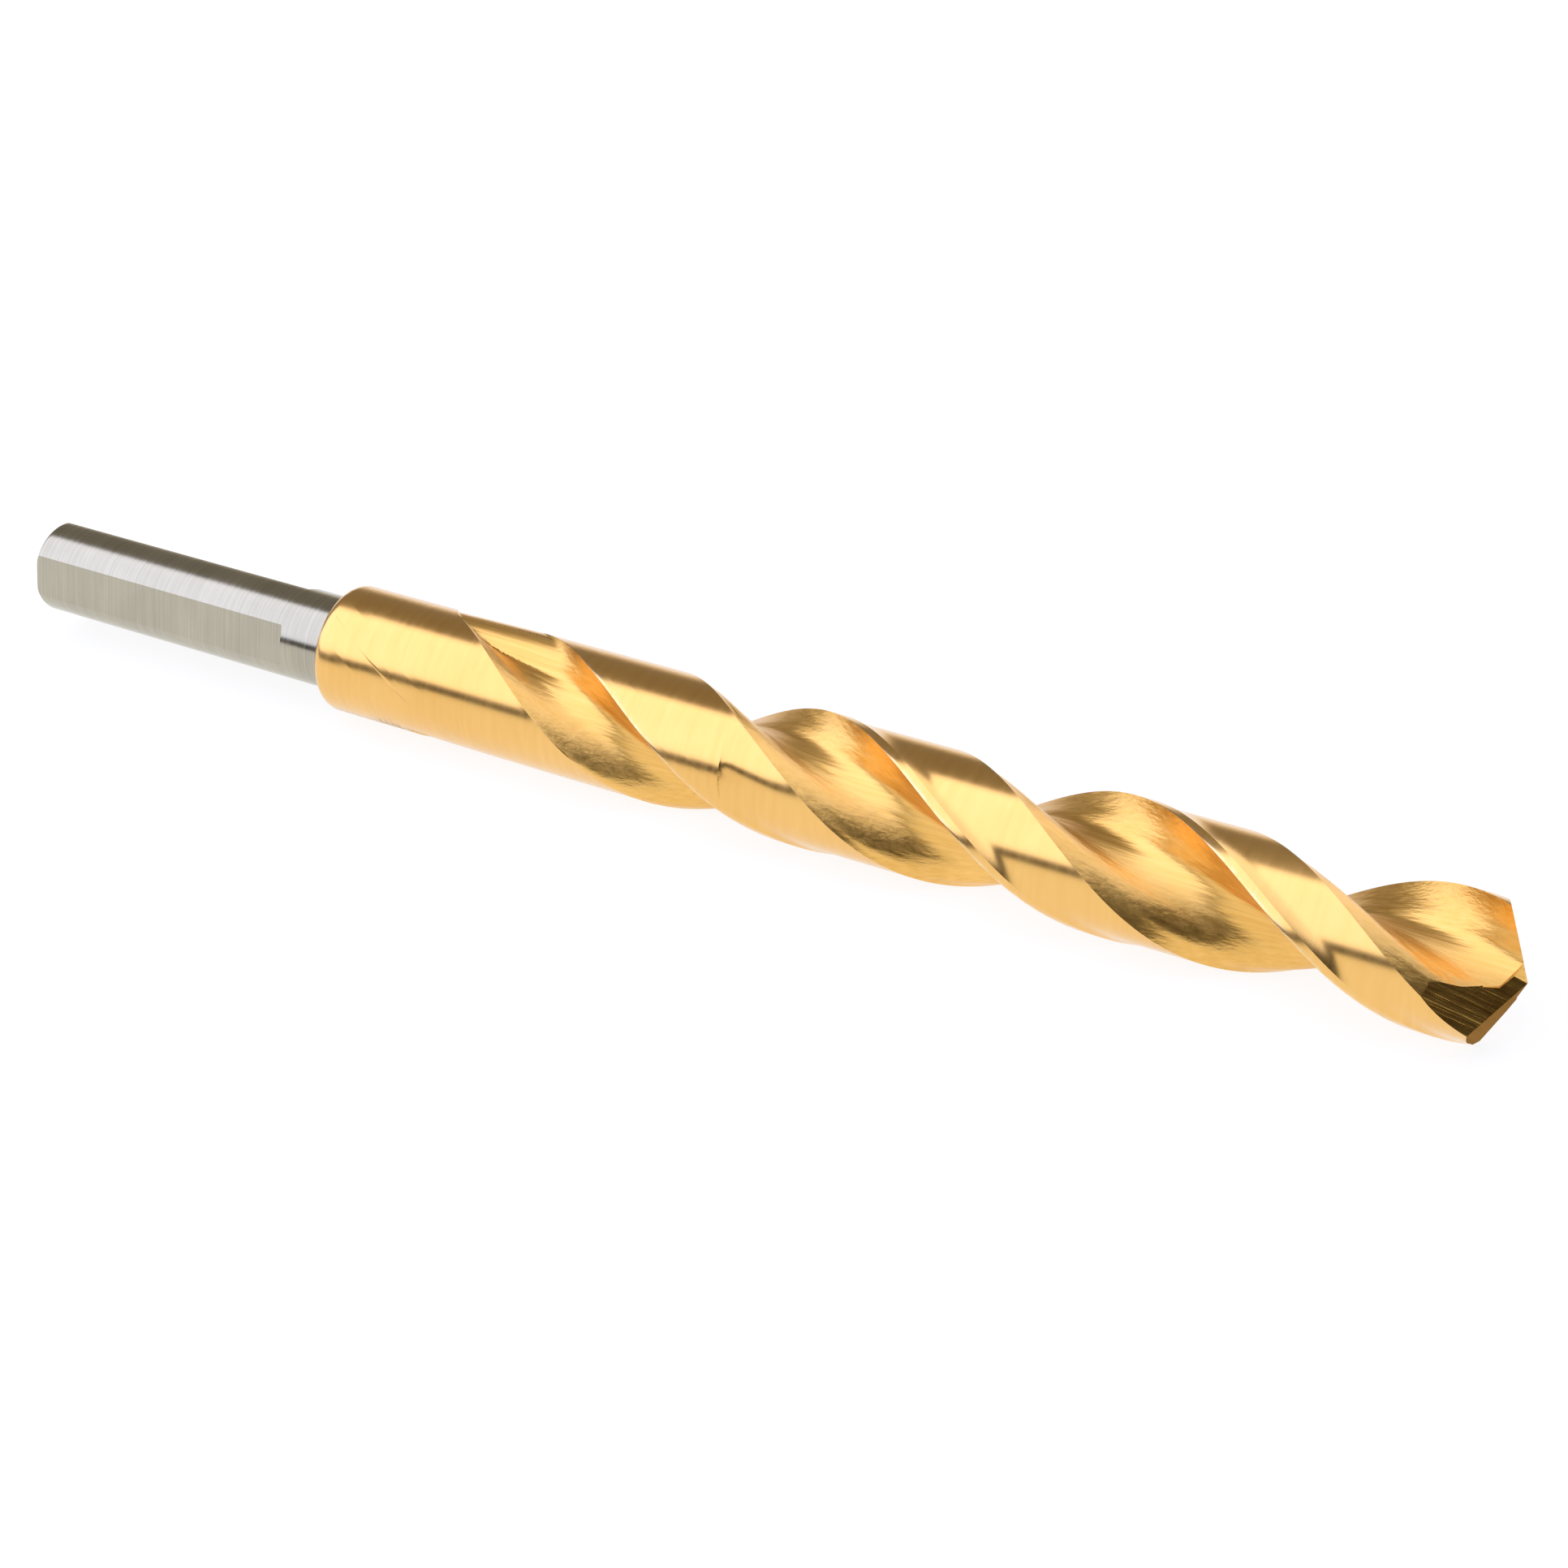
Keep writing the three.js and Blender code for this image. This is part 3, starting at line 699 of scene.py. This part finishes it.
# ------------------------------------------------------------------ studio light
def studio():
    w = bpy.data.worlds.new("studio")
    bpy.context.scene.world = w
    w.use_nodes = True
    nt = w.node_tree
    nt.nodes.clear()
    out = node(nt, "ShaderNodeOutputWorld")
    bg = node(nt, "ShaderNodeBackground")
    nt.links.new(bg.outputs[0], out.inputs[0])
    tc = node(nt, "ShaderNodeTexCoord")
    sep = node(nt, "ShaderNodeSeparateXYZ")
    nt.links.new(tc.outputs["Generated"], sep.inputs[0])
    X, Y, Z = sep.outputs

    def smooth(v, a, b):
        m = node(nt, "ShaderNodeMapRange", interpolation_type="SMOOTHSTEP")
        m.inputs["From Min"].default_value = a
        m.inputs["From Max"].default_value = b
        nt.links.new(v, m.inputs["Value"])
        return m.outputs[0]

    def sub(a, b):
        return math_node(nt, "SUBTRACT", a, b)

    def mul(a, b):
        return math_node(nt, "MULTIPLY", a, b)

    # angle in the Y-Z plane: 0 = back horizon, 90 = overhead, 180 = front horizon
    phi = mul(math_node(nt, "ARCTAN2", Z, Y), 180 / math.pi)
    # the big overhead box: full height on the left, its front edge drawn back towards the right,
    # where it meets a weaker card standing behind the drill
    hi = sub(166.0, mul(smooth(X, 0.0, 0.60), 88.0))
    lo = sub(76.0, mul(smooth(X, -0.15, 0.05), 70.0))
    up = mul(smooth(sub(phi, lo), -5.0, 5.0), sub(1.0, smooth(sub(phi, hi), -3.0, 3.0)))
    level = sub(sub(sub(1.56, mul(smooth(X, -0.18, 0.05), 0.40)), mul(smooth(X, 0.10, 0.35), 0.24)), mul(smooth(X, 0.50, 0.62), 0.84))
    box = mul(up, level)
    # the unlit room: dim behind, darker in front and to the right; the sweep rises a little behind
    back = mul(sub(1.0, smooth(phi, 60, 110)), sub(1.0, smooth(X, 0.0, 0.5)))
    sweep = mul(sub(1.0, smooth(phi, 2, 18)), sub(1.0, smooth(X, 0.5, 0.8)))
    room = math_node(nt, "ADD", math_node(nt, "ADD", 0.055, mul(back, 0.200)), mul(sweep, 0.5))
    below = math_node(nt, "SUBTRACT", 1.0, smooth(Z, -0.01, 0.0))
    lit = math_node(nt, "MAXIMUM", box, math_node(nt, "MULTIPLY", below, 0.95))
    dark = node(nt, "ShaderNodeVectorMath", operation="SCALE")
    dark.inputs[0].default_value = (1.0, 0.89, 0.74)
    nt.links.new(room, dark.inputs["Scale"])
    bright = node(nt, "ShaderNodeVectorMath", operation="SCALE")
    bright.inputs[0].default_value = (1.02, 1.07, 1.38)
    nt.links.new(lit, bright.inputs["Scale"])
    both = node(nt, "ShaderNodeVectorMath", operation="ADD")
    nt.links.new(dark.outputs[0], both.inputs[0])
    nt.links.new(bright.outputs[0], both.inputs[1])
    nt.links.new(both.outputs[0], bg.inputs["Color"])
    bg.inputs["Strength"].default_value = 1.0


studio()

# ------------------------------------------------------------------ camera
def camera():
    cam = bpy.data.cameras.new("camera")
    ob = bpy.data.objects.new("camera", cam)
    bpy.context.scene.collection.objects.link(ob)
    right = Vector((0.88968368, 0.45657742, 0.0))
    up = Vector((-0.25638311, 0.4995864, 0.82745461))
    back = Vector((0.37779709, -0.73617287, 0.56153261))
    m = Matrix((right, up, back)).transposed().to_4x4()
    m.translation = Vector((169.75497883, -166.02762376, 125.15446335)) * MM
    ob.matrix_world = m
    cam.sensor_fit = "HORIZONTAL"
    cam.sensor_width = 36.0
    cam.lens = 3022.2839516550844 / 1932 * 36.0
    cam.clip_start = 0.005
    cam.clip_end = 20
    bpy.context.scene.camera = ob


camera()
bpy.context.scene.view_settings.view_transform = "Standard"
